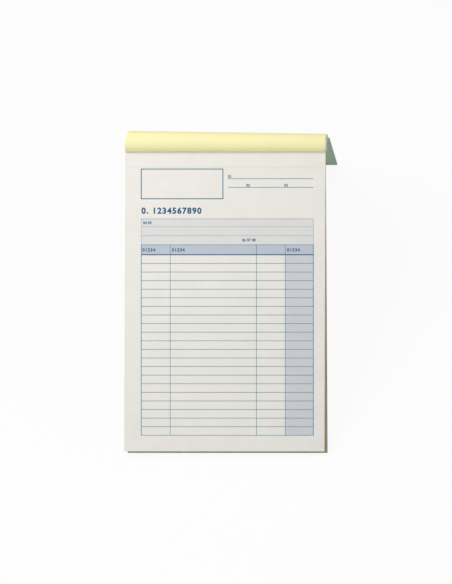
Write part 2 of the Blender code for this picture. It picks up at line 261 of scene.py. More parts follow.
@dataclass(frozen=True)
class Finish:
    """What every finish has. It becomes a material once."""

    name: str
    colour: Colour
    slot: Slot = Slot.WHITE
    roughness: float = 0.68
    gloss: float = 0.25

    def paint(self, shader: Shader) -> None:
        """Paints the finish. Each kind of finish has its own way."""
        raise NotImplementedError

    @cache
    def material(self) -> bpy.types.Material:
        """Makes the material on first use.

        Returns:
            The material.
        """
        shader = Shader(self.name, self.roughness, self.gloss)
        self.paint(shader)
        return shader.material


@dataclass(frozen=True)
class Paper(Finish):
    """Uncoated paper: cloudy tone, short fibres and a fine tooth."""

    cloud: float = 0.045
    fleck: float = 0.10
    cloud_size: float = 0.018
    fibre_size: float = 0.00045
    fibre_stretch: float = 0.45
    fleck_range: Pair = (0.60, 0.78)
    tooth: float = 0.000012

    def grain(self, shader: Shader, colour: Colour) -> tuple[Socket, Socket]:
        """Draws the clouds and the fibres.

        Args:
            shader: The material's shader.
            colour: The colour that is clouded.

        Returns:
            The clouded colour, and the fibres.
        """
        clouds = shader.noise(shader.place(), self.cloud_size, 3.0)
        tone = shader.vary(clouds, colour, 1 - self.cloud, 1 + self.cloud)
        return tone, shader.noise(shader.place(1.0, self.fibre_stretch, 1.0), self.fibre_size, 4.0)

    def paint(self, shader: Shader) -> None:
        """Paints the paper.

        Args:
            shader: The material's shader.
        """
        tone, fibres = self.grain(shader, self.colour)
        flecks = shader.spread(fibres, *self.fleck_range)
        tone = shader.mix(flecks, tone, shade(self.colour, 1 - self.fleck))
        shader.finish(tone, fibres, self.tooth)


WHITE_LEAF = Paper("white_leaf", (0.84, 0.82, 0.775))


@dataclass(frozen=True)
class Print(Finish):
    """Ink on the white leaf, solid or screened, with the paper's fibres showing through."""

    roughness: float = 0.60
    gloss: float = 0.28
    worn: float = 0.12
    worn_range: Pair = (0.45, 0.80)
    screen: float = 0.0
    dot_range: Pair = (0.25, 0.60)
    dot_share: float = 0.30
    under: Paper = WHITE_LEAF

    def paint(self, shader: Shader) -> None:
        """Paints the printed paper.

        Args:
            shader: The material's shader.
        """
        tone, fibres = self.under.grain(shader, self.colour)
        bare = shader.spread(fibres, *self.worn_range, self.worn)
        tone = shader.mix(bare, tone, self.under.colour)
        if self.screen:
            made = {"Vector": shader.place(), "Scale": 1.0 / self.screen, "Randomness": 0.08}
            dots = shader.add("TexVoronoi", made).outputs["Distance"]
            light = shader.spread(dots, *self.dot_range, self.dot_share)
            tone = shader.mix(light, tone, self.under.colour)
        shader.finish(tone, fibres, self.under.tooth)


@dataclass(frozen=True, kw_only=True)
class Board(Finish):
    """Unlined pulp board or dyed card: long fibres, flecks and a rough face."""

    gloss: float = 0.22
    dark: Colour
    pale: Colour
    mottle: float = 0.05
    mottle_size: float = 0.011
    fibre_size: float
    fibre_range: Pair = (0.56, 0.72)
    speck_range: Pair = (0.60, 0.74)
    relief: float = 0.00002
    flecks: float = 0.35

    def paint(self, shader: Shader) -> None:
        """Paints the board.

        Args:
            shader: The material's shader.
        """
        clouds = shader.noise(shader.place(), self.mottle_size, 4.0)
        tone = shader.vary(clouds, self.colour, 1 - self.mottle, 1 + self.mottle)
        fibres = shader.noise(shader.place(1.0, 0.30, 1.0), self.fibre_size, 5.0)
        tone = shader.mix(shader.spread(fibres, *self.fibre_range, self.flecks), tone, self.dark)
        specks = shader.noise(shader.place(0.55, 1.0, 1.0), self.fibre_size * 0.7, 3.0)
        tone = shader.mix(shader.spread(specks, *self.speck_range, self.flecks), tone, self.pale)
        shader.finish(tone, shader.sum(fibres, specks, 0.5), self.relief)


@dataclass(frozen=True)
class Linen(Finish):
    """Binding tape with a plain weave pressed into it."""

    roughness: float = 0.74
    gloss: float = 0.5
    thread: float = 0.00045
    slub: float = 0.0011
    slub_range: Pair = (0.55, 0.75)
    relief: float = 0.00003

    def paint(self, shader: Shader) -> None:
        """Paints the tape.

        Args:
            shader: The material's shader.
        """
        wave = self.thread * 20.0 / math.pi
        made = {"Vector": shader.place(), "Scale": 1.0 / wave, "Distortion": 0.4}
        warp, weft = [shader.add("TexWave", made, wave_type="BANDS", bands_direction=axis)
                      for axis in ("X", "Y")]
        weave = shader.sum(warp.outputs["Fac"], weft.outputs["Fac"], 1.0)
        weave = shader.spread(weave, 0.0, 2.0)
        tone = shader.vary(weave, self.colour, 0.82, 1.10)
        slubs = shader.noise(shader.place(0.2, 1.0, 1.0), self.slub, 3.0)
        pale = shader.spread(slubs, *self.slub_range, 0.5)
        tone = shader.mix(pale, tone, shade(self.colour, 1.3))
        shader.finish(tone, weave, self.relief)


@dataclass(frozen=True)
class Wire(Finish):
    """Drawn steel wire with fine lines along it."""

    roughness: float = 0.32
    gloss: float = 0.5
    line: float = 0.00006
    relief: float = 0.000003

    def paint(self, shader: Shader) -> None:
        """Paints the wire.

        Args:
            shader: The material's shader.
        """
        shader.surface.inputs["Metallic"].default_value = 1.0
        where = shader.add("TexCoord").outputs["Object"]
        along = shader.add("Mapping", {"Vector": where, "Scale": (0.15, 1.0, 1.0)}).outputs[0]
        drawn = shader.noise(along, self.line, 3.0)
        shader.finish(shader.vary(drawn, self.colour, 0.86, 1.12), drawn, self.relief)


@dataclass(frozen=True)
class StudioPaper(Finish):
    """Pale studio paper: white to the camera, and still darker where the object shades it."""

    roughness: float = 0.9
    gloss: float = 0.1
    lift: float = 0.92
    grain: float = 0.02
    relief: float = 0.0002

    def paint(self, shader: Shader) -> None:
        """Paints the studio paper.

        Args:
            shader: The material's shader.
        """
        tooth = shader.noise(shader.add("TexCoord").outputs["Object"], self.grain, 3.0)
        shader.finish(shader.vary(tooth, self.colour, 0.99, 1.01), tooth, self.relief)
        seen = shader.ray("Is Camera Ray", "Is Glossy Ray", "Is Transmission Ray")
        share = shader.spread(seen, 0.0, 1.0, self.lift)
        white = shader.add("Emission", {"Color": WHITE, "Strength": 1.0})
        shader.show(share, shader.surface.outputs[0], white.outputs[0], "Material Output")


class Palette:
    """Every finish of the notepad and of its studio."""

    white = WHITE_LEAF
    yellow = Paper("yellow_leaf", (0.95, 0.890, 0.490), Slot.YELLOW, cloud=0.03, fleck=0.06)
    rule = Print("blue_rule", (0.004, 0.245, 0.360), worn=0.05)
    frame_rule = Print("blue_frame", (0.003, 0.165, 0.265), worn=0.04)
    heavy = Print("navy_line", (0.003, 0.105, 0.270), worn=0.04)
    block = Print("grey_tint", (0.710, 0.720, 0.716), worn=0.10, screen=0.0006)
    block_rule = Print("grey_rule", (0.42, 0.44, 0.46))
    band = Print("blue_grey_tint", (0.462, 0.522, 0.615), worn=0.10, screen=0.0005)
    column = Print("pale_blue_tint", (0.590, 0.606, 0.655), worn=0.10, screen=0.0005)
    figures = Print("navy_figures", (0.003, 0.095, 0.215), worn=0.03)
    form = [white, rule, frame_rule, heavy, block, block_rule, band, column]
    card = Board("green_card", (0.410, 0.580, 0.430), Slot.GREEN, roughness=0.66,
                 dark=(0.29, 0.43, 0.31), pale=(0.56, 0.71, 0.57), fibre_size=0.0006)
    core = Board("pale_card_core", (0.72, 0.74, 0.66), Slot.GREEN, roughness=0.80,
                 dark=(0.55, 0.58, 0.50), pale=(0.82, 0.84, 0.78), fibre_size=0.0004)
    pulp = Board("grey_pulp_board", (0.44, 0.415, 0.325), Slot.GREY, roughness=0.85,
                 dark=(0.22, 0.21, 0.16), pale=(0.60, 0.58, 0.50), fibre_size=0.0008,
                 mottle=0.07, relief=0.00006, flecks=0.55)
    linen = Linen("linen_tape", (0.50, 0.48, 0.41), Slot.TAPE)
    wire = Wire("drawn_wire", (0.60, 0.60, 0.62), Slot.WIRE)
    studio = StudioPaper("studio_paper", (0.86, 0.86, 0.86))


# Sizes


@dataclass(frozen=True)
class PadSizes:
    """Sizes and levels that several sub-assemblies share."""

    width: float = 0.148
    length: float = 0.230
    stub: float = 0.020
    gap: float = 0.0003
    solid_sheet: float = 0.00015
    leaf: float = 0.0001
    card: float = 0.0004
    board: float = 0.0015
    overhang: float = 0.0012
    slip_head: float = -0.0011
    slip_foot: float = -0.00205
    slip_form: float = -0.00215
    form_edge: Pair = (0.0655, 0.0735)
    block_share: float = 0.80
    foot_step: float = 0.0002
    cover_slip: float = 0.0019
    crease: float = -0.0085
    roll_level: float = 0.0095
    radius_left: float = 0.00775
    radius_right: float = 0.00665
    used: int = 3
    bottom_level: float = 0.008375
    top_level: float = 0.008825
    cover_level: float = 0.0103
    crown_level: float = 0.01105
    press: float = 0.0002
    leg_slope: float = math.radians(4.9)
    hinge_level: float = -0.0016
    slit: float = 0.0012
    slit_pitch: float = 0.002
    shift_run: float = 0.2

    @property
    def layer(self) -> float:
        """Distance between two turned sheets."""
        return self.solid_sheet + self.gap

    @property
    def fold_radius(self) -> float:
        """Radius of the middle of the cover's fold, inside the roll."""
        return self.radius_right - 2 * self.used * self.layer - self.card / 2

    @property
    def bound_end(self) -> float:
        """What a turned sheet keeps in the binding, less what the roll's layers take up."""
        return self.crease + 2 * self.used * self.layer

    def slip(self, y: float, share: float) -> float:
        """Returns how far a leaf has slipped sideways at a height on the page."""
        return share * (self.slip_head + (self.slip_foot - self.slip_head) * -y / self.length)

    def settled(self, x: float, s: float) -> float:
        """Returns where a place on the top leaf lies. Its form runs straight down the page."""
        edge = self.slip(-s, 1.0) - self.slip_form
        return x + self.slip_form + edge * smooth(abs(x), *self.form_edge)

    def slits(self) -> list[float]:
        """Returns the middle of each perforation slit, from the middle of the leaf."""
        count = int((self.width - self.slit) / self.slit_pitch)
        return [(index - (count - 1) / 2) * self.slit_pitch for index in range(count)]

    def slit_ends(self) -> list[float]:
        """Returns both ends of each perforation slit."""
        return [slit + side * self.slit / 2 for slit in self.slits() for side in (-1, 1)]

    def in_slit(self, x: float) -> bool:
        """Returns whether a place across the leaf lies in a perforation slit."""
        return any(abs(x - slit) < self.slit / 2 for slit in self.slits())


SIZES = PadSizes()


def steps(start: float, end: float, count: int) -> list[float]:
    """Returns evenly spaced places from start to end, both included."""
    return [start + (end - start) * index / count for index in range(count + 1)]


def across(count: int) -> list[float]:
    """Returns evenly spaced places across the page."""
    return steps(-SIZES.width / 2, SIZES.width / 2, count)


def smooth(value: float, start: float, end: float) -> float:
    """Returns 0 before start and 1 after end, with a smooth rise between them."""
    share = min(1.0, max(0.0, (value - start) / (end - start)))
    return share * share * (3.0 - 2.0 * share)


def merged(places: Sequence[float], least: float) -> list[float]:
    """Sorts places and leaves out those that are too close together.

    Args:
        places: The places.
        least: How far each has to be from the one before.

    Returns:
        The places that are left.
    """
    kept: list[float] = []
    for place in sorted(places):
        if not kept or place - kept[-1] > least:
            kept.append(place)
    return kept


def grid(free: Sequence[float], exact: Sequence[float], clear: float,
         least: float = 0.000002) -> list[float]:
    """Returns exact places, and free ones that stay clear of them, in order."""
    fitting = [place for place in free if all(abs(place - other) > clear for other in exact)]
    return merged(fitting + list(exact), least)


def lying(level: float, share: float = 1.0, shift: float = 0.0) -> Surface:
    """Makes the middle of a leaf that lies flat.

    Args:
        level: Its level above the back of the board.
        share: Its share of the page's slip.
        shift: How far its foot lies to the side of its neighbours.

    Returns:
        The surface.
    """
    def surface(x: float, s: float) -> Point:
        """Returns a place on the leaf."""
        return (x + SIZES.slip(-s, share) + shift * smooth(s, 0.0, SIZES.shift_run), -s, level)

    return surface


def hooked(s: float, flat: float, bend: float, level: float) -> Pair:
    """Returns y and z on a bound end, which runs flat from the head and then bends up."""
    angle = max(0.0, s - flat) / bend
    return -min(s, flat) - bend * math.sin(angle), level + bend * (1 - math.cos(angle))


def hook_grid(flat: float, bend: float, count: int) -> list[float]:
    """Returns places along a bound end, with a number of steps on its flat run."""
    return steps(0.0, flat, count) + [flat + bend * part for part in steps(0.0, QUARTER, 6)][1:]


# Meshes


@dataclass
class Sheet:
    """A closed thin sheet over a grid of places across it and along it.

    The surface gives the middle of the sheet for a place across and a place along it.
    """

    across: Sequence[float]
    along: Sequence[float]
    surface: Surface
    thickness: Union[float, Callable[[float, float], float]] = SIZES.leaf
    finish_of: Optional[Callable[[float, float], int]] = None
    open_at: Optional[Callable[[float, float], bool]] = None
    all_over: int = 0
    rim: int = 0

    def corners(self) -> tuple[np.ndarray, np.ndarray]:
        """Works out the corners of the front face and then of the back face.

        Returns:
            Their places in pad coordinates, and their places on the flat sheet.
        """
        middle = np.array([[self.surface(x, s) for x in self.across] for s in self.along], float)
        side = np.cross(np.gradient(middle, axis=0), np.gradient(middle, axis=1))
        side /= np.linalg.norm(side, axis=2, keepdims=True)
        thick = self.thickness
        if callable(thick):
            thick = np.array([[[thick(x, s)] for x in self.across] for s in self.along], float)
        half = side * thick / 2
        flat = np.array([[(x, -s, 0.0) for x in self.across] for s in self.along], float)
        lift = np.zeros_like(flat)
        lift[:, :, 2:] = np.asarray(thick, float) / 2
        return tuple(np.concatenate([(at + out).reshape(-1, 3), (at - out).reshape(-1, 3)])
                     for at, out in ((middle, half), (flat, lift)))

    def faces(self) -> tuple[list[Face], list[int]]:
        """Works out the faces.

        Returns:
            The faces as corner numbers, and the finish number of each.
        """
        columns, rows = len(self.across) - 1, len(self.along) - 1
        width, back = columns + 1, (columns + 1) * (rows + 1)
        middles = [(a + b) / 2 for a, b in zip(self.across, self.across[1:])]
        heights = [(a + b) / 2 for a, b in zip(self.along, self.along[1:])]
        kept = {(row, column) for row, s in enumerate(heights) for column, x in enumerate(middles)
                if not (self.open_at and self.open_at(x, s))}
        faces, finishes = [], []
        for row, column in sorted(kept):
            a = row * width + column
            b, d, c = a + 1, a + width, a + width + 1
            printed = self.all_over
            if self.finish_of:
                printed = self.finish_of(middles[column], heights[row])
            faces += [(a, d, c, b), (a + back, b + back, c + back, d + back)]
            finishes += [printed, self.all_over]
            sides = (((row - 1, column), a, b), ((row + 1, column), c, d),
                     ((row, column - 1), d, a), ((row, column + 1), b, c))
            for beside, first, second in sides:
                if beside not in kept:
                    faces.append((first, second, second + back, first + back))
                    finishes.append(self.rim or self.all_over)
        return faces, finishes


@dataclass
class Given:
    """A mesh that is taken as it is, in pad coordinates and in one finish."""

    places: np.ndarray
    joined: list[Face]

    def corners(self) -> tuple[np.ndarray, np.ndarray]:
        """Returns the corners, twice."""
        return self.places, self.places

    def faces(self) -> tuple[list[Face], list[int]]:
        """Returns the faces and their finish numbers."""
        return self.joined, [0] * len(self.joined)


@dataclass(frozen=True)
class Bend:
    """A bend from one body to another, between two places in pad coordinates."""

    first: Body
    second: Body
    start: Sequence[float]
    end: Sequence[float]


Hold = Union[Body, Bend]


def add_object(name: str, data: bpy.types.ID) -> Piece:
    """Adds an object to the scene.

    Args:
        name: The object's name.
        data: Its mesh, curve, light or camera.

    Returns:
        The object.
    """
    made = bpy.data.objects.new(name, data)
    bpy.context.scene.collection.objects.link(made)
    return made


class Workshop:
    """Makes pieces in place on the pad and hands them to the frame."""

    def __init__(self, packed: dict) -> None:
        """Reads where the pad stands.
        """
        mounts = {mount["name"]: mount for mount in packed["record"]["mounts"]}
        _, rise, depth = mounts["board_back"]["axis"]
        turn = Matrix.Rotation(math.atan2(rise, -depth), 4, "X")
        back = turn.inverted()
        board = packed["nodes"]["backing_board"].data.vertices
        places = np.array([back @ corner.co for corner in board], float)
        low, high = places.min(0), places.max(0)
        origin = Vector(((low[0] + high[0]) / 2, high[1], low[2]))
        self.pad = turn @ Matrix.Translation(origin)

    def piece(self, name: str, shapes: Sequence[Union[Sheet, Given]], finishes: Sequence[Finish],
              hold: Hold, *nodes: str) -> Piece:
        """Makes one piece in place, dresses it and hands it to the frame.

        Args:
            name: The piece's name.
            shapes: The shapes that it is made of.
            finishes: Its finishes, which the shapes name by number.
            hold: The body that it rides on, or its bend between two bodies.
            *nodes: The nodes that it stands for.

        Returns:
            The piece.
        """
        corners, flat, faces, numbers = [], [], [], []
        for shape in shapes:
            start = sum(map(len, corners))
            for made, own in zip((corners, flat), shape.corners()):
                made.append(own)
            own_faces, own_numbers = shape.faces()
            faces += [tuple(corner + start for corner in face) for face in own_faces]
            numbers += own_numbers
        mesh = bpy.data.meshes.new(name)
        mesh.from_pydata(np.concatenate(corners).tolist(), [], faces)
        mesh.update()
        mark = mesh.attributes.new(PLACE, "FLOAT_VECTOR", "POINT")
        mark.data.foreach_set("vector", np.concatenate(flat).astype(np.float32).ravel())
        mesh.shade_smooth()
        mesh.set_sharp_from_angle(angle=SHARP)
        mesh.transform(self.pad)
        piece = add_object(name, mesh)
        for finish in finishes:
            mesh.materials.append(finish.material())
        mesh.polygons.foreach_set("material_index", numbers)
        self.hand_over(piece, hold, nodes)
        return piece

    def hand_over(self, piece: Piece, hold: Hold, nodes: Sequence[str]) -> None:
        """Puts a piece on its body or its bend, and hides the nodes that it stands for.

        Args:
            piece: The piece.
            hold: The body that it rides on, or its bend between two bodies.
            nodes: The nodes that it stands for.
        """
        if isinstance(hold, Bend):
            start, end = [tuple(self.pad @ Vector(place)) for place in (hold.start, hold.end)]
            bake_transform(piece, hold.first.value, hold.second.value, start=start, end=end)
        else:
            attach(piece, hold.value)
        if nodes:
            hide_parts(*nodes)


# Sub-assemblies


@dataclass
class BackingBoard:
    """The grey pulp board under the leaves."""

    shop: Workshop
    edge: float = 0.00022
    edge_steps: int = 3
    edge_angle: float = math.radians(60)
    press_end: float = 0.0123
    press_run: float = 0.0006
    clear: float = 0.02
    head_aside: float = -0.0011
    foot_aside: float = 0.00025

    def pressed(self, s: float) -> float:
        """Returns how much of the back is pressed in at a distance from the head."""
        return SIZES.press * (1 - smooth(s, self.press_end - self.press_run, self.press_end))

    def thickness(self, x: float, s: float) -> float:
        """Returns the board's thickness."""
        return SIZES.board - self.pressed(s)

    def surface(self, x: float, s: float) -> Point:
        """Returns the middle of the board, which lies slightly turned."""
        share = s / (SIZES.length + SIZES.overhang)
        return (x + self.head_aside + (self.foot_aside - self.head_aside) * share, -s,
                SIZES.board / 2 + self.pressed(s) / 2)

    def build(self) -> None:
        """Builds the board and dresses it."""
        press = steps(self.press_end - self.press_run, self.press_end, 4)
        along = [0.0, *press, *steps(self.clear, SIZES.length + SIZES.overhang, 10)]
        sheet = Sheet(across(8), along, self.surface, self.thickness)
        made = self.shop.piece("backing_board_pulp", [sheet], [Palette.pulp], Body.PAD,
                               "backing_board")
        soft = made.modifiers.new("soft_edges", "BEVEL")
        soft.width = self.edge
        soft.segments = self.edge_steps
        soft.limit_method = "ANGLE"
        soft.angle_limit = self.edge_angle


@dataclass
class UnusedSets:
    """The block of unused leaves, white over yellow, fanned a little to one side."""

    shop: Workshop
    base: float = 0.00158
    top: float = 0.00824
    leaves: int = 92
    packs: int = 5
    fill: float = 0.86
    jitter: float = 0.00007
    seed: int = 7

    def build(self) -> None:
        """Builds one piece of white and one of yellow leaves for each pack, and dresses them."""
        chance = random.Random(self.seed)
        per_pack = self.leaves / self.packs
        thickness = (self.top - self.base) / self.leaves * self.fill
        sheets: dict[tuple[int, bool], list[Sheet]] = {}
        for index in range(self.leaves):
            rise = (index + 0.5) / self.leaves
            share = SIZES.block_share + (1 - SIZES.block_share) * rise
            foot = SIZES.length - SIZES.foot_step * (1 - share) - chance.uniform(0.0, self.jitter)
            shift = chance.uniform(-self.jitter, self.jitter)
            level = self.base + (self.top - self.base) * rise
            key = (self.packs - int(index / per_pack), bool(index % 2))
            sheet = Sheet(across(2), steps(0.0, foot, 6), lying(level, share, shift), thickness)
            sheets.setdefault(key, []).append(sheet)
        for (pack, white), leaves in sheets.items():
            finish = Palette.white if white else Palette.yellow
            name = f"unused_{'white' if white else 'yellow'}_leaves_{pack}"
            self.shop.piece(name, leaves, [finish], Body.PAD, f"unused_sets_{pack}")


@dataclass(frozen=True)
class Mark:
    """One printed field of the form, in millimetres from the leaf's left edge and the tear line."""

    left: float
    right: float
    top: float
    bottom: float
    ink: Ink

    def covers(self, left: float, down: float) -> bool:
        """Returns whether the field covers a place."""
        return self.left < left < self.right and self.top < down < self.bottom


@dataclass(frozen=True)
class Figures:
    """One line of printed figures, in millimetres as the fields are."""

    words: str
    left: float
    base: float
    size: float = 2.8
    weight: float = 0.09
    spacing: float = 1.0


@dataclass(frozen=True)
class Form:
    """The printed form: a frame for an address, two rules, a tinted block and a ruled table."""

    box: tuple[float, float, float, float] = (12.8, 73.2, 1.25, 23.2)
    rules: tuple[float, float, tuple[float, ...]] = (76.8, 140.1, (8.4, 14.75))
    columns: tuple[float, ...] = (12.8, 34.2, 98.0, 119.3, 140.1)
    block_top: float = 38.1
    block_rules: tuple[float, ...] = (43.95, 50.4)
    band_top: float = 57.25
    band_line: float = 64.6
    first_row: float = 71.05
    row: float = 6.354
    rows: int = 21
    thin: float = 0.40
    rule: float = 0.46
    side: float = 0.54
    border: float = 0.68
    heavy: float = 0.76
    figures: tuple[Figures, ...] = (
        Figures("0. 1234567890", 13.0, 34.1, 6.1, 0.255, 1.21),
        Figures("01", 77.0, 7.6),
        Figures("02", 90.4, 14.2),
        Figures("03", 118.6, 14.2),
        Figures("04 05", 14.2, 41.9),
        Figures("06 07 08", 87.4, 54.7),
        *(Figures("01234", left, 62.1, 3.2, 0.135, 1.22) for left in (13.7, 35.5, 120.7)),
    )

    def line(self, left: float, right: float, y: float, width: float, ink: Ink) -> Mark:
        """Returns a line across the form."""
        return Mark(left, right, y - width / 2, y + width / 2, ink)

    def stroke(self, x: float, top: float, bottom: float, width: float, ink: Ink) -> Mark:
        """Returns a line down the form."""
        return Mark(x - width / 2, x + width / 2, top, bottom, ink)

    def marks(self) -> list[Mark]:
        """Lists every field and line.

        Returns:
            The marks, the later ones printed over the earlier ones.
        """
        left, right = self.columns[0], self.columns[-1]
        rows = [self.first_row + self.row * index for index in range(self.rows)]
        block, band, foot = self.block_top, self.band_top, rows[-1]
        made = [Mark(left, right, block, band, Ink.BLOCK),
                Mark(left, right, band, self.band_line, Ink.BAND),
                Mark(self.columns[-2], right, self.band_line, foot, Ink.COLUMN),
                self.line(left, right, block, self.side, Ink.BLOCK_RULE)]
        made += [self.line(left, right, y, self.thin, Ink.BLOCK_RULE) for y in self.block_rules]
        made += [self.stroke(x, block, band, self.thin, Ink.BLOCK_RULE) for x in (left, right)]
        made += [self.line(left, right, y, self.thin, Ink.RULE) for y in (band, *rows)]
        made += [self.stroke(x, band, foot, self.thin, Ink.RULE) for x in self.columns[1:-1]]
        made += [self.stroke(x, band, foot + self.thin / 2, self.side, Ink.RULE)
                 for x in (left, right)]
        made.append(self.line(left, right, self.band_line, self.heavy, Ink.HEAVY))
        first, last, top, bottom = self.box
        made += [self.line(first - self.border / 2, last + self.border / 2, y, self.border,
                           Ink.FRAME) for y in (top, bottom)]
        made += [self.stroke(x, top, bottom, self.border, Ink.FRAME) for x in (first, last)]
        start, end, heights = self.rules
        return made + [self.line(start, end, y, self.rule, Ink.RULE) for y in heights]


@dataclass(frozen=True)
class PageRelief:
    """How the top leaf lies: settled on the set, pressed at its tear line, up at its corners."""

    settle: float = 0.00026
    groove: float = 0.00007
    groove_reach: float = 0.0013
    wave: float = 0.00009
    broad_wave: tuple[float, float, float, float] = (46.0, 0.7, 31.0, 0.4)
    slant_wave: Pair = (83.0, 47.0)
    slant: float = 0.6
    sunk: float = 0.6
    corner: float = 0.0002
    settle_run: Pair = (0.012, 0.060)
    wave_run: Pair = (0.009, 0.017)
    corner_down: Pair = (0.17, 0.23)
    corner_out: Pair = (0.045, 0.074)

    def height(self, x: float, s: float) -> float:
        """Works out the leaf's height above its own level.

        Args:
            x: The place across.
            s: The distance from the head.

        Returns:
            The height.
        """
        settled = -self.settle * smooth(s, *self.settle_run)
        across_rate, across_from, down_rate, down_from = self.broad_wave
        swell = math.sin(across_rate * x + across_from) * math.sin(down_rate * s + down_from)
        across_rate, down_rate = self.slant_wave
        swell += self.slant * math.sin(across_rate * x - down_rate * s)
        swell *= self.wave * smooth(s, *self.wave_run) / (1 + self.slant)
        near = max(0.0, 1 - abs(s - SIZES.stub) / self.groove_reach)
        lift = self.corner * smooth(s, *self.corner_down) * smooth(abs(x), *self.corner_out)
        return settled + swell - self.sunk * self.wave - self.groove * near * near + lift


@dataclass
class CurrentSet:
    """The set being written: the white leaf with its perforated stub, over its yellow copy."""

    shop: Workshop
    form: Form = Form()
    relief: PageRelief = PageRelief()
    join: float = 0.00878
    copy_rise: float = 6 / 7
    slit_half: float = 0.00009
    tie_gap: float = 0.00001
    spacing: float = 0.0042
    clear_across: float = 0.00006
    clear_along: float = 0.00008
    bend_start: float = 0.0091
    bend_end: float = 0.0190
    leaf_bend: float = 0.0600
    ink: float = 0.000008
    ink_lift: float = 0.000010

    def along(self, start: float, end: float, tears: Sequence[float] = (),
              marks: Sequence[Mark] = ()) -> list[float]:
        """Lists the places along the leaf where its grid has a line.

        Args:
            start: The sheet's start.
            end: The sheet's end.
            tears: Where the slits of the perforation end.
            marks: What is printed on the sheet.

        Returns:
            The places, in order.
        """
        exact = [start, end, *tears]
        exact += [SIZES.stub + edge * MM for mark in marks for edge in (mark.top, mark.bottom)]
        places = steps(start, end, max(8, round((end - start) / self.spacing)))
        places += [SIZES.stub + side * self.relief.groove_reach * part / 4
                   for part in range(5) for side in (-1, 1)]
        return grid([p for p in places if start < p < end], exact, self.clear_along)

    def top_surface(self, x: float, s: float) -> Point:
        """Returns the middle of the white leaf."""
        return (SIZES.settled(x, s), -s, SIZES.top_level + self.relief.height(x, s))

    def slit_open(self, x: float, s: float) -> bool:
        """Returns whether a place lies in a slit of the perforation."""
        return abs(s - SIZES.stub) <= self.slit_half and SIZES.in_slit(x)

    def build(self) -> None:
        """Builds the yellow copy, the stub, the leaf and its figures, and dresses them."""
        level = SIZES.top_level
        lift = Bend(Body.PAD, Body.SET, (0.0, -self.bend_start, level),
                    (0.0, -self.bend_end, level))
        turn = Bend(Body.SET, Body.LEAF, (0.0, -SIZES.stub, level), (0.0, -self.leaf_bend, level))
        free = across(24)
        share = SIZES.block_share + (1 - SIZES.block_share) * self.copy_rise
        sheet = Sheet(grid(free, (), 0.0), self.along(self.join, SIZES.length),
                      lying(SIZES.bottom_level, share))
        self.shop.piece("yellow_copy", [sheet], [Palette.yellow], lift, "bottom_copy")

        free += SIZES.slit_ends()
        along = self.along(self.join, SIZES.stub - self.tie_gap / 2, [SIZES.stub - self.slit_half])
        sheet = Sheet(grid(free, (), 0.0), along, self.top_surface, open_at=self.slit_open)
        self.shop.piece("leaf_stub", [sheet], [Palette.white], lift, "top_copy_stub")

        marks = self.form.marks()
        half = SIZES.width / 2

        def printed(x: float, s: float) -> Ink:
            """Returns the ink of the last mark over a place on the leaf."""
            place = (x + half) / MM, (s - SIZES.stub) / MM
            return next((mark.ink for mark in reversed(marks) if mark.covers(*place)), Ink.BARE)

        exact = [edge * MM - half for mark in marks for edge in (mark.left, mark.right)]
        along = self.along(SIZES.stub + self.tie_gap / 2, SIZES.length,
                           [SIZES.stub + self.slit_half], marks)
        sheet = Sheet(grid(free, exact, self.clear_across), along, self.top_surface,
                      open_at=self.slit_open, finish_of=printed)
        self.shop.piece("order_leaf", [sheet], Palette.form, turn, "top_copy")
        lines = [self.set_line(line) for line in self.form.figures]
        self.shop.piece("leaf_figures", lines, [Palette.figures], turn)

    def set_line(self, line: Figures) -> Given:
        """Sets one line of figures on the leaf.

        Args:
            line: The line.

        Returns:
            Its mesh, which lies on the leaf.
        """
        type_line = bpy.data.curves.new("figures", "FONT")
        type_line.body = line.words
        type_line.size = line.size * MM
        type_line.offset = line.weight * MM
        type_line.space_character = line.spacing
        type_line.extrude = self.ink
        type_line.resolution_u = 6
        holder = add_object("figures", type_line)
        bpy.context.view_layer.update()
        seen = holder.evaluated_get(bpy.context.evaluated_depsgraph_get())
        mesh = bpy.data.meshes.new_from_object(seen)
        lift = SIZES.leaf / 2 + self.ink_lift
        corners = []
        for corner in mesh.vertices:
            x, y, z = self.top_surface(corner.co.x + line.left * MM - SIZES.width / 2,
                                       SIZES.stub + line.base * MM - corner.co.y)
            corners.append((x, y, z + corner.co.z + lift))
        faces = [tuple(face.vertices) for face in mesh.polygons]
        bpy.data.objects.remove(holder)
        bpy.data.meshes.remove(mesh)
        return Given(np.array(corners), faces)


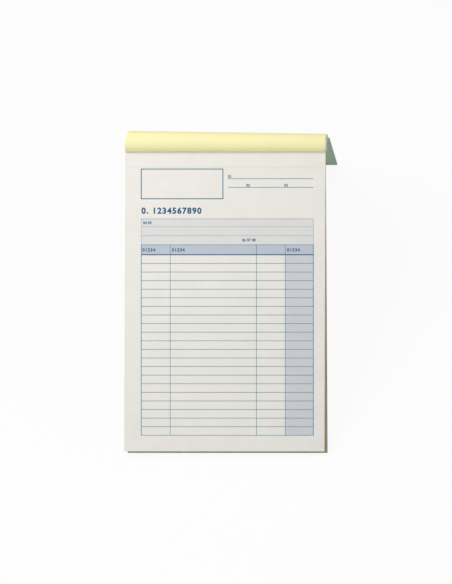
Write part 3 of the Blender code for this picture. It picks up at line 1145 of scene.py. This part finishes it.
@dataclass(frozen=True)
class Turn:
    """One sheet turned over the head: a roll, slightly conical, and what runs on from it."""

    left: float
    right: float
    inset: float
    slip: float
    behind: float
    pull: float = 0.0
    drift: Pair = (-0.17, 1.65)
    lean: float = math.radians(20)

    def shift(self, x: float, angle: float) -> float:
        """Returns how far a place on the sheet has drifted sideways at an angle of the roll."""
        far = (self.behind - self.slip) * (1 - self.pull * x / SIZES.width)
        return self.slip + far * smooth(angle, *self.drift)

    def outer(self, x: float) -> float:
        """Returns the radius of the whole roll at a place across it."""
        share = x / SIZES.width + 0.5
        return self.left + (self.right - self.left) * share

    def radius(self, x: float) -> float:
        """Returns the sheet's radius at a place across it."""
        return self.outer(x) - self.inset

    def at(self, x: float, angle: float, swell: float = 0.0) -> Point:
        """Finds a point of the roll.

        Args:
            x: The place across.
            angle: The angle, from the reader's side over the head.
            swell: How far the point lies outside the roll.

        Returns:
            The point in pad coordinates.
        """
        radius = self.radius(x) + swell
        middle = SIZES.crease + self.outer(x)
        return (x + self.shift(x, angle), middle + radius * math.sin(angle),
                SIZES.roll_level + radius * math.cos(angle))

    def bend(self, half: Half, first: float) -> Bend:
        """Finds the bend for one half of the roll.

        The half turns at its own pace round the roll, and both halves agree where they meet.

        Args:
            half: Which half it is.
            first: The angle where the sheet leaves the pad.

        Returns:
            The bend.
        """
        cone = (self.left - self.right) / SIZES.width
        y, z = math.sin(self.lean), half.value * math.cos(self.lean)
        direction = Vector((cone * (y + z), y, z))
        span = self.radius(0.0) * (math.cos(self.lean) - math.cos(first - self.lean))
        seam = Vector((0.0, *self.at(0.0, 0.0)[1:]))
        unit = direction / direction.length_squared
        return Bend(Body.PAD, Body.COPIES, seam - unit * span, seam + unit * span)


def roll_angles(start: float, end: float, step: float = math.radians(1.5),
                seam: Pair = (0.25, 0.6), least: float = math.radians(0.05)) -> list[float]:
    """Lists angles round a roll, closer together near the place where its halves meet.

    Args:
        start: The first angle.
        end: The last angle.
        step: About how far apart they are.
        seam: Two more, in degrees from the place where the halves meet.
        least: How far each has to be from the one before.

    Returns:
        The angles, in order.
    """
    count = max(2, round(abs(end - start) / step))
    side = 1 if end > 0 else -1
    extra = [side * math.radians(part) for part in seam]
    inside = [angle for angle in extra if start < angle < end]
    return merged(steps(start, end, count) + inside, least)


@dataclass
class UsedCopies:
    """The used yellow copies, turned over the head, with the torn stubs of their leaves."""

    shop: Workshop
    slips: tuple[float, ...] = (-0.0006, -0.0009, -0.0012)
    stub_slips: tuple[float, ...] = (0.0003, 0.0000, -0.0003)
    behind: float = 0.0010
    pull: float = 0.70
    foot_slips: tuple[float, ...] = (0.0001, -0.0006, -0.0013)
    swell: float = 0.00005
    swell_full: Pair = (-0.9, 0.6)
    broad_swell: Pair = (61.0, 1.1)
    fine_swell: Pair = (117.0, 2.0)
    fine: float = 0.6
    run_on: float = 0.0006
    panel_steps: int = 14
    torn_depth: float = 0.00030
    slit_clear: float = 0.00004
    slip_start: float = 0.001
    end_sheet: float = 0.00005
    margin_levels: Pair = (0.00922, 0.00005)
    margin_spread: Pair = (0.00902, 0.00019)
    margin_squeeze: Pair = (0.003, 0.0055)

    def turn(self, number: int, torn: bool) -> Turn:
        """Finds the turn of one sheet.

        Args:
            number: The copy's number, counted from the cover.
            torn: Whether it is the copy's torn stub.

        Returns:
            The turn.
        """
        inset = (2 * (SIZES.used - number) + torn) * SIZES.layer + SIZES.solid_sheet / 2
        slip = (self.stub_slips if torn else self.slips)[number - 1]
        return Turn(SIZES.radius_left, SIZES.radius_right, inset, slip, self.behind, self.pull)

    def ripple(self, x: float, angle: float) -> float:
        """Works out how far the roll swells out of its cone, the same for every layer.

        Args:
            x: The place across.
            angle: The angle round the roll.

        Returns:
            The swell.
        """
        full, over = self.swell_full
        fade = smooth(angle, -QUARTER, full) * (1 - smooth(angle, over, QUARTER))
        rate, start = self.broad_swell
        wave = math.sin(rate * x + start)
        rate, twist = self.fine_swell
        wave += self.fine * math.sin(rate * x + twist * angle)
        return self.swell * fade * (wave - (1 + self.fine)) / 2

    def panel_line(self, number: int, outer: float) -> Pair:
        """Finds how a copy runs on behind the board, for one radius of the roll.

        Args:
            number: The copy's number, counted from the cover.
            outer: The radius of the whole roll.

        Returns:
            Its slope in radians and its length.
        """
        radius = outer - 2 * (SIZES.used - number) * SIZES.layer - SIZES.solid_sheet / 2
        offset = (outer - SIZES.radius_right) * math.cos(SIZES.leg_slope)
        near = offset + radius - SIZES.fold_radius
        far = SIZES.card / 2 + SIZES.gap + (number - 1) * SIZES.layer + SIZES.solid_sheet / 2
        length = SIZES.length + SIZES.bound_end - radius * (math.pi + SIZES.leg_slope)
        return SIZES.leg_slope + math.asin((near - far) / length), length

    def build_copy(self, number: int) -> None:
        """Builds one copy: the front and the back of its roll, and its panel.

        Args:
            number: The copy's number, counted from the cover.
        """
        turn = self.turn(number, False)
        places = across(24)
        radius = turn.radius(0.0)
        ends = {x: self.panel_line(number, turn.outer(x)) for x in places}
        middle_lean, middle_length = ends[places[12]]
        last = QUARTER + middle_lean
        begin = (last + QUARTER) * radius

        def surface(x: float, s: float) -> Point:
            """Finds the middle of the copy, on its roll and behind the board.

            Args:
                x: The place across.
                s: The distance from the crease.

            Returns:
                The point in pad coordinates.
            """
            lean, length = ends[x]
            angle = min(s, begin) / radius - QUARTER
            if angle > 0:
                angle *= (QUARTER + lean) / last
            x_at, y, z = turn.at(x, angle, self.ripple(x, angle))
            share = max(0.0, s - begin) / middle_length
            aside = (x + self.foot_slips[number - 1] - x_at) * share
            run = share * length
            return (x_at + aside, y - math.sin(lean) * run, z - math.cos(lean) * run)

        for side, start, end in ((Half.FRONT, -QUARTER, 0.0), (Half.BACK, 0.0, last)):
            along = [(angle + QUARTER) * radius for angle in roll_angles(start, end)]
            if side is Half.BACK:
                along.append(begin + self.run_on)
            self.shop.piece(f"copy_{number}_roll_{side.name.lower()}",
                            [Sheet(places, along, surface)], [Palette.yellow],
                            turn.bend(side, -QUARTER), f"used_copy_roll_{number}")
        along = [begin + part for part in steps(self.run_on, middle_length, self.panel_steps)]
        self.shop.piece(f"copy_{number}_panel", [Sheet(places, along, surface)], [Palette.yellow],
                        Body.COPIES, f"used_copy_{number}")

    def build_stub(self, number: int) -> None:
        """Builds one torn stub, with half slits along its torn edge.

        Args:
            number: The number of the stub's copy.
        """
        turn = self.turn(number, True)
        length = SIZES.stub + SIZES.crease
        whole = length - self.torn_depth

        def surface(x: float, s: float) -> Point:
            """Returns the middle of the stub."""
            angle = s / turn.radius(x) - QUARTER
            return turn.at(x, angle, self.ripple(x, angle))

        def torn(x: float, s: float) -> bool:
            """Returns whether a place lies in a half slit."""
            return s >= whole and SIZES.in_slit(x)

        places = merged(across(12) + SIZES.slit_ends(), self.slit_clear)
        sheet = Sheet(places, steps(0.0, whole, 44) + [length], surface, open_at=torn)
        self.shop.piece(f"stub_{number}_torn", [sheet], [Palette.white],
                        turn.bend(Half.FRONT, -QUARTER), f"torn_stub_{number}")

    def margin_leaf(self, index: int) -> Sheet:
        """Makes the bound end of one turned sheet, which runs from the head to its crease.

        Args:
            index: Its number, counted from the outermost copy.

        Returns:
            The sheet.
        """
        turn = self.turn(SIZES.used - index // 2, bool(index % 2))
        low, high = [first + step * index
                     for first, step in (self.margin_levels, self.margin_spread)]
        bend = SIZES.roll_level - low

        def flat(x: float) -> float:
            """Returns how far the bound end runs before it bends up."""
            return -turn.at(x, -QUARTER)[1] - bend

        def surface(x: float, s: float) -> Point:
            """Returns the middle of the bound end."""
            level = high + (low - high) * smooth(s, *self.margin_squeeze)
            slip = turn.slip * smooth(s, self.slip_start, flat(x))
            return (x + slip, *hooked(s, flat(x), bend, level))

        return Sheet(across(4), hook_grid(flat(0.0), bend, 12), surface, self.end_sheet,
                     all_over=index % 2)

    def build(self) -> None:
        """Builds the bound ends, the copies and the stubs, and dresses them."""
        sheets = [self.margin_leaf(index) for index in range(2 * SIZES.used)]
        self.shop.piece("turned_leaf_ends", sheets, [Palette.yellow, Palette.white], Body.PAD,
                        "used_sets_margin")
        for number in range(1, SIZES.used + 1):
            self.build_copy(number)
            self.build_stub(number)


@dataclass
class TurnedCover:
    """The green card cover: its bound end, its fold round the head, and the leg."""

    shop: Workshop
    margin_bend: float = 0.0003
    hinge_reach: float = 0.0050
    bound_slip: float = -0.0002

    def strip(self, name: str, along: Sequence[float], surface: Surface,
              hold: Hold, node: str) -> None:
        """Makes one piece of the cover, green with a pale core at its cut edges.

        Args:
            name: The piece's name.
            along: Where its grid has a line, from the head.
            surface: The middle of the card.
            hold: The body that it rides on, or its bend between two bodies.
            node: The node that it stands for.
        """
        sheet = Sheet(across(12), along, surface, SIZES.card, rim=1)
        self.shop.piece(name, [sheet], [Palette.card, Palette.core], hold, node)

    def build(self) -> None:
        """Builds the bound end, the fold and the leg, and dresses them."""
        radius, bend = SIZES.fold_radius, self.margin_bend
        outer = SIZES.radius_right
        turn = Turn(outer, outer, outer - radius, self.bound_slip, SIZES.cover_slip)
        rise = SIZES.cover_level - SIZES.roll_level
        first = math.asin((rise + bend) / radius) - QUARTER
        last = QUARTER + SIZES.leg_slope
        flat = -turn.at(0.0, first)[1] - bend

        def bound(x: float, s: float) -> Point:
            """Returns the middle of the bound end."""
            return (x + turn.slip, *hooked(s, flat, bend, SIZES.cover_level))

        self.strip("cover_bound_end", hook_grid(flat, bend, 6), bound, Body.PAD, "cover_margin")

        end = Vector(turn.at(0.0, last))
        down = Vector((0.0, -math.sin(SIZES.leg_slope), -math.cos(SIZES.leg_slope)))
        run = (end.z - SIZES.hinge_level) / math.cos(SIZES.leg_slope)
        arc = (last - first) * radius

        def leg(x: float, s: float) -> Point:
            """Returns the middle of the card below the fold."""
            return (x + turn.behind, *(end + down * (s - arc))[1:])

        def fold(x: float, s: float) -> Point:
            """Returns the middle of the fold and of the short run below it."""
            return turn.at(x, first + s / radius) if s <= arc else leg(x, s)

        for side, start, stop in ((Half.FRONT, first, 0.0), (Half.BACK, 0.0, last)):
            along = [(angle - first) * radius for angle in steps(start, stop, 30)]
            if side is Half.BACK:
                along += [along[-1] + part for part in steps(0.0, run, 8)][1:]
            self.strip(f"cover_fold_{side.name.lower()}", along, fold, turn.bend(side, first),
                       "cover_fold")

        hinge = end + down * run
        begin = arc + run
        turned = math.pi - math.asin(rise / radius) + SIZES.leg_slope
        length = SIZES.length + SIZES.overhang + SIZES.bound_end - radius * turned - run

        along = [begin + part for part in steps(0.0, self.hinge_reach, 12)]
        along += [begin + part for part in steps(self.hinge_reach, length, 14)][1:]
        swing = Bend(Body.COPIES, Body.COVER, hinge, hinge + down * self.hinge_reach)
        self.strip("cover_leg", along, leg, swing, "cover")


@dataclass
class Binding:
    """What holds the head: the glued ends of the current set, the staples and the linen tape."""

    shop: Workshop
    glue: float = 0.00876
    stick: float = 0.00003
    tape: float = 0.0002
    front_end: float = 0.00415
    back_end: float = 0.0120
    corner: float = 0.00025
    aside: float = 0.0006
    staple_spacing: float = 0.074
    staple_crown: float = 0.0125
    staple_clinch: float = 0.0045
    staple_from_head: float = 0.0030
    clinch_level: float = 0.00060
    wire: float = 0.0005
    ridge_end: Pair = (0.00025, 0.0011)
    ridge_side: Pair = (0.00028, 0.0011)
    ridge_inner: float = 0.0008
    fine_outer: tuple[float, float, int] = (-0.0002, 0.0013, 6)
    fine_inner: tuple[float, float, int] = (-0.0002, 0.0010, 5)
    least: float = 0.00008

    def staples(self) -> Pair:
        """Returns the middles of the staples across the page."""
        return -self.staple_spacing / 2, self.staple_spacing / 2

    def ridge(self, x: float, y: float, front: bool) -> float:
        """Works out how far the tape stands proud over the wire.

        Args:
            x: The place across.
            y: The place up the page.
            front: Whether it is the front of the tape, over the crowns.

        Returns:
            The share of the full height.
        """
        half = self.staple_crown / 2
        clinched = half - self.staple_clinch
        share = 0.0
        for middle in self.staples():
            off = abs(x - middle)
            beyond = 1 - smooth(off, *(half + end for end in self.ridge_end))
            if not front:
                beyond *= smooth(off, clinched - self.ridge_inner, clinched)
            share = max(share, beyond)
        return share * (1 - smooth(abs(y + self.staple_from_head), *self.ridge_side))

    def path(self) -> list[tuple[float, float, float, float]]:
        """Finds the tape's middle line, from front to back.

        Returns:
            The y, the z and the outward direction of each of its points.
        """
        out = self.stick + self.tape / 2
        front = SIZES.cover_level + SIZES.card / 2 + out
        back = SIZES.press - out
        r = self.corner
        turn = [(math.sin(part), math.cos(part)) for part in steps(0.0, QUARTER, 5)[1:]]
        made = [(-part, front, 0.0, 1.0) for part in reversed(steps(-out + r, self.front_end, 26))]
        made += [(out - r + r * sine, front - r + r * cosine, sine, cosine)
                 for sine, cosine in turn]
        made += [(out, z, 1.0, 0.0) for z in steps(front - r, back + r, 6)[1:]]
        made += [(out - r + r * cosine, back + r - r * sine, cosine, -sine)
                 for sine, cosine in turn]
        return made + [(-part, back, 0.0, -1.0) for part in steps(-out + r, self.back_end, 60)[1:]]

    def build_tape(self) -> None:
        """Builds the linen tape, which stands proud over the staples."""
        path = self.path()
        lengths = [0.0]
        for (y, z, _, _), (next_y, next_z, _, _) in zip(path, path[1:]):
            lengths.append(lengths[-1] + math.hypot(next_y - y, next_z - z))
        stations = dict(zip(lengths, path))
        crown = SIZES.crown_level + self.wire / 2 + self.stick + self.tape / 2

        def surface(x: float, s: float) -> Point:
            """Finds the middle of the tape.

            Args:
                x: The place across.
                s: The distance from the tape's front end.

            Returns:
                The point in pad coordinates.
            """
            y, z, _, out_z = stations[s]
            if out_z == 1.0:
                z += (crown - z) * self.ridge(x, y, True)
            elif out_z == -1.0:
                proud = z + self.clinch_level + self.stick + self.tape / 2
                z -= proud * self.ridge(x, y, False)
            return (x, y, z)

        half = SIZES.width / 2
        places = steps(-half - self.aside, half - self.aside, 30)
        for middle in self.staples():
            for side in (-1, 1):
                outer = middle + side * self.staple_crown / 2
                inner = middle + side * (self.staple_crown / 2 - self.staple_clinch)
                places += [outer + side * part for part in steps(*self.fine_outer)]
                places += [inner - side * part for part in steps(*self.fine_inner)]
        sheet = Sheet(merged(places, self.least), lengths, surface, self.tape)
        self.shop.piece("linen_spine_tape", [sheet], [Palette.linen], Body.PAD, "spine_tape")

    def build(self) -> None:
        """Builds the glued ends and the tape, and dresses them and the staples."""
        ends = [Sheet(across(4), steps(0.0, self.glue, 6), lying(level), all_over=number)
                for level, number in ((SIZES.bottom_level, 1), (SIZES.top_level, 0))]
        self.shop.piece("glued_set_ends", ends, [Palette.white, Palette.yellow], Body.PAD,
                        "current_set_margin")
        self.build_tape()
        for name in ("staple_left", "staple_right"):
            node = frame["nodes"][name]
            for index in range(len(node.data.materials)):
                node.data.materials[index] = Palette.wire.material()
            LOG.info("%s: kept, in drawn wire", name)


@dataclass
class Studio:
    """The pale floor, the soft light and the camera."""

    shop: Workshop
    reach: float = 12.0
    target: Point = (-0.00065, -0.11215, 0.0089)
    yaw: float = math.radians(2.0)
    distance: float = 12.0
    lens: float = 1000.5
    sensor: float = 36.0
    clip: Pair = (1.0, 100.0)
    key: tuple[Point, float, float] = ((-0.30, -0.25, 0.80), 3.3, 0.45)
    fill: tuple[Point, float, float] = ((0.75, 0.60, 0.70), 0.6, 0.8)
    sky: float = 0.54
    sky_colour: Colour = (1.0, 0.995, 0.985)

    def build_floor(self) -> None:
        """Builds the floor."""
        mesh = bpy.data.meshes.new("studio_floor")
        signs = ((-1, -1), (1, -1), (1, 1), (-1, 1))
        mesh.from_pydata([(self.reach * x, self.reach * y, 0.0) for x, y in signs], [],
                         [(0, 1, 2, 3)])
        floor = add_object("studio_floor", mesh)
        floor.data.materials.append(Palette.studio.material())

    def build_sky(self) -> None:
        """Builds the even light from all round, which the camera sees as white."""
        world = bpy.data.worlds.new("studio_sky")
        world.use_nodes = True
        nodes = Nodes(world.node_tree)
        base = nodes.tree.nodes["Background"]
        base.inputs["Color"].default_value = (*self.sky_colour, 1.0)
        base.inputs["Strength"].default_value = self.sky
        white = nodes.add("Background", {"Color": WHITE, "Strength": 1.0})
        seen = nodes.ray("Is Camera Ray", "Is Transmission Ray")
        nodes.show(seen, base.outputs[0], white.outputs[0], "World Output")
        bpy.context.scene.world = world

    def build_lamp(self, name: str, place: Point, power: float, size: float) -> None:
        """Builds one soft lamp aimed at the page.

        Args:
            name: Its name.
            place: Its place in the row frame.
            power: Its power in watts.
            size: The side of its square face.
        """
        light = bpy.data.lights.new(name, "AREA")
        light.energy = power
        light.size = size
        lamp = add_object(name, light)
        lamp.location = place
        aim = self.shop.pad @ Vector(self.target) - Vector(place)
        lamp.rotation_mode = "QUATERNION"
        lamp.rotation_quaternion = aim.to_track_quat("-Z", "Y")

    def build_camera(self) -> None:
        """Builds the camera, square to the page but for a small turn to its right."""
        data = bpy.data.cameras.new("studio_camera")
        data.lens = self.lens
        data.sensor_width = self.sensor
        data.clip_start, data.clip_end = self.clip
        camera = add_object("studio_camera", data)
        turn = self.shop.pad.to_3x3()
        back = turn @ Vector((math.sin(self.yaw), 0.0, math.cos(self.yaw)))
        up = turn @ Vector((0.0, 1.0, 0.0))
        axes = Matrix((up.cross(back), up, back)).transposed().to_4x4()
        place = self.shop.pad @ Vector(self.target) + back * self.distance
        camera.matrix_world = Matrix.Translation(place) @ axes
        bpy.context.scene.camera = camera

    def build(self) -> None:
        """Builds the floor, the light and the camera."""
        self.build_floor()
        self.build_sky()
        self.build_lamp("key_lamp", *self.key)
        self.build_lamp("fill_lamp", *self.fill)
        self.build_camera()
        bpy.context.scene.view_settings.view_transform = "Standard"


def main() -> None:
    """Builds the notepad and its studio."""
    logging.basicConfig(level=logging.INFO, format="%(name)s: %(message)s")
    shop = Workshop(frame)
    for part in (BackingBoard, UnusedSets, CurrentSet, UsedCopies, TurnedCover, Binding, Studio):
        part(shop).build()


if __name__ == "__main__":
    main()
